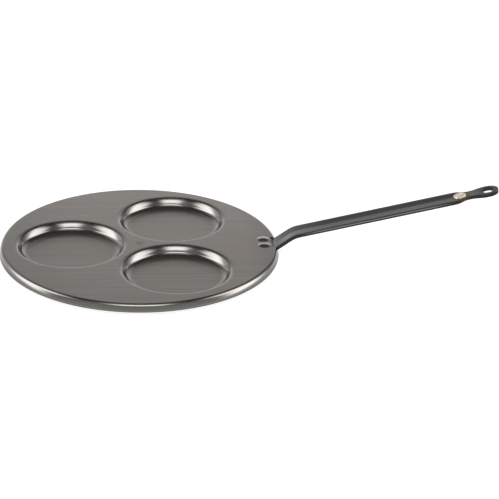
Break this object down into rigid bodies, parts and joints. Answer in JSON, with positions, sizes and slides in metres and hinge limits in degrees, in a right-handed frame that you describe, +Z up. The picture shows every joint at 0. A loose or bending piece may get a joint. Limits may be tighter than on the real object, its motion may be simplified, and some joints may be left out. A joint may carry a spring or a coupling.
{
  "type": "blini pan",
  "caption": "Round pressed-steel pan with shallow wells for small pancakes, a turned-down rim and a riveted strip handle that ends in a hanging eye.",
  "frame": {"origin": "centre of the plate's flat top face, between the wells", "axes": "+X along the handle, away from the plate; +Z up, square to the plate's top face"},
  "size_m": [0.4846, 0.2706, 0.0675],
  "materials": {
    "plate_steel": "bare carbon steel, finely brushed, polished where it is pressed",
    "handle_steel": "dark satin strip steel",
    "rivet_steel": "smooth domed steel",
    "medallion_copper": "pale copper with a plain face"
  },
  "bodies": {
    "root": {"pan_plate": "plate_steel", "handle": "handle_steel", "rivet_left": "rivet_steel", "rivet_right": "rivet_steel", "medallion": "medallion_copper"}
  },
  "joints": []
}
